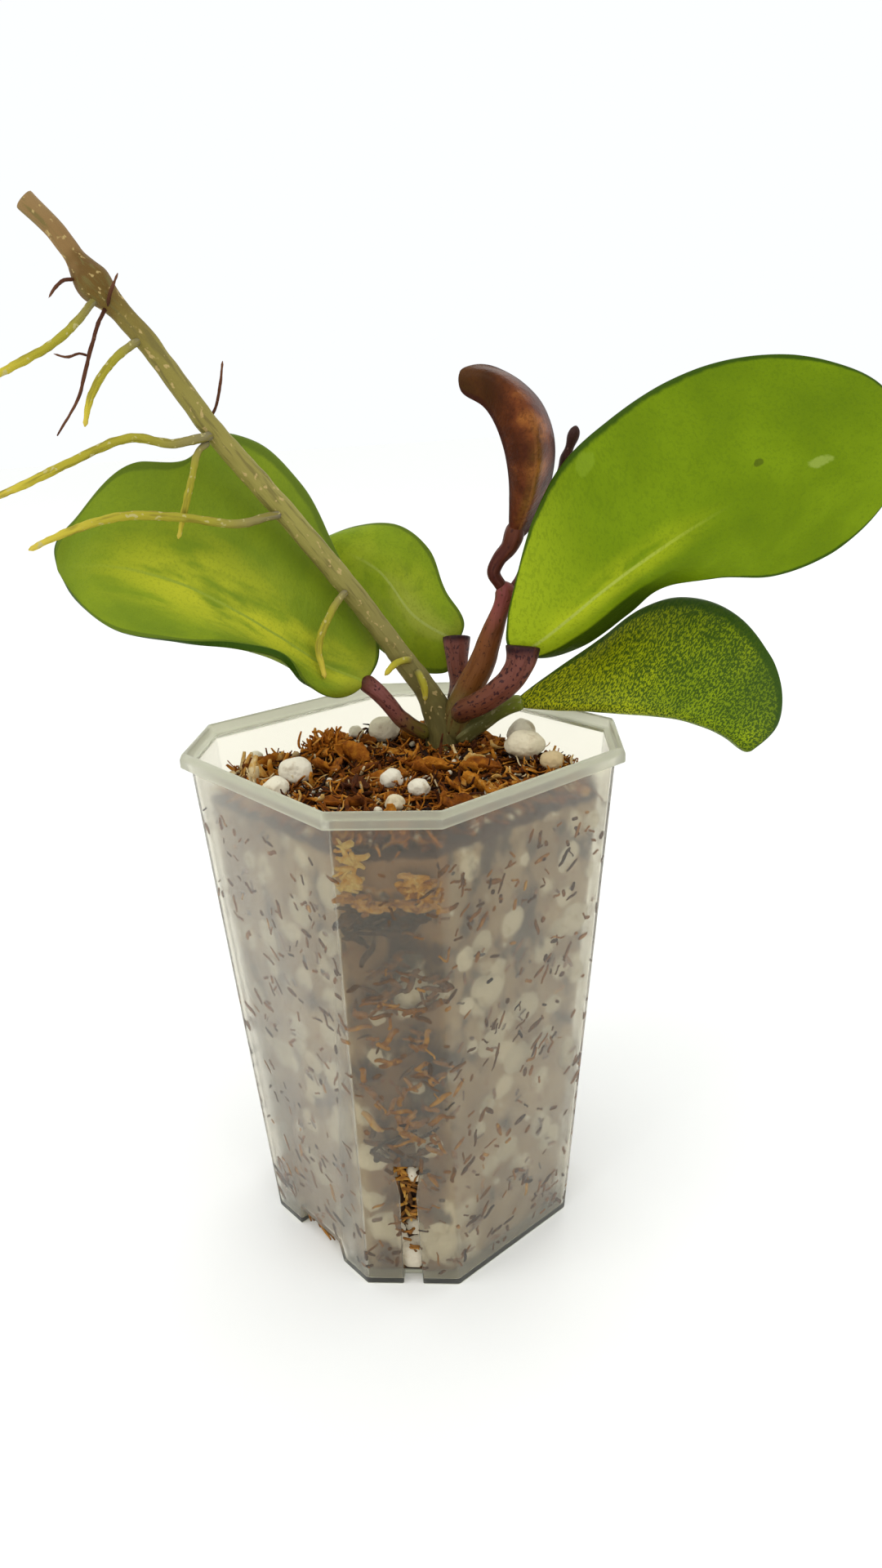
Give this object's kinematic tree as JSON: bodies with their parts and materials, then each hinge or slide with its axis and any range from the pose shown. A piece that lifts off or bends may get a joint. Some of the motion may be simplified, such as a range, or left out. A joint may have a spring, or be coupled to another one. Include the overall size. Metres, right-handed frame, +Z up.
{
  "type": "potted hoya",
  "caption": "Rooted hoya cutting with thick oval leaves and a long bare stem with aerial roots, planted in a clear square pot of husk and perlite mix.",
  "frame": {"origin": "centre of the bottom of the whole object's box; the pot's axis is 8.1 mm towards -X and 7.8 mm towards -Y of it", "axes": "+Z up along the pot's axis; the pot's flat walls face along X and Y; the drain channel in its base runs along Y; the large right leaf points towards +X and +Y"},
  "size_m": [0.1172, 0.1408, 0.2212],
  "materials": {
    "pot": "moulded clear polypropylene, slightly milky, satin gloss",
    "mix": "damp husk, moss and perlite, matt",
    "perlite": "expanded perlite grain, chalky",
    "husk": "coconut husk and dry moss, fibrous",
    "stem": "old green stem turning to bark, satin",
    "shoot": "waxy red-brown new growth",
    "petiole": "waxy mauve-brown leaf stalk with dark flecks",
    "root": "dry ochre root skin",
    "twig": "withered root, matt",
    "leaf": "thick waxy green leaf, satin",
    "speckled_leaf": "thick waxy leaf with dark green speckles",
    "young_leaf": "waxy maroon young leaf"
  },
  "bodies": {
    "root": {"pot": "pot", "potting_mix": "mix", "main_stem": "stem", "new_shoot": "shoot", "vine_tip": "shoot", "petiole_left": "petiole", "petiole_back": "petiole", "petiole_right": "petiole", "petiole_low": "petiole", "petiole_young": "shoot", "leaf_left": "leaf", "leaf_back": "leaf", "leaf_right": "leaf", "leaf_low": "speckled_leaf", "leaf_young": "young_leaf", "moss_clump": "husk", "husk_chip_1": "husk", "husk_chip_2": "husk", "husk_chip_3": "husk", "husk_chip_4": "husk", "perlite_1": "perlite", "perlite_2": "perlite", "perlite_3": "perlite", "perlite_4": "perlite", "perlite_5": "perlite", "perlite_6": "perlite", "perlite_7": "perlite", "perlite_8": "perlite", "perlite_9": "perlite", "perlite_10": "perlite", "perlite_11": "perlite", "aerial_root_1": "root", "aerial_root_2": "root", "aerial_root_3": "root", "aerial_root_4": "root", "aerial_root_5": "twig", "aerial_root_6": "root", "aerial_root_7": "root", "aerial_root_8": "root", "aerial_root_9": "root", "dry_twig_1": "twig", "dry_twig_2": "twig", "dry_twig_3": "twig", "dry_twig_4": "twig"}
  },
  "joints": []
}
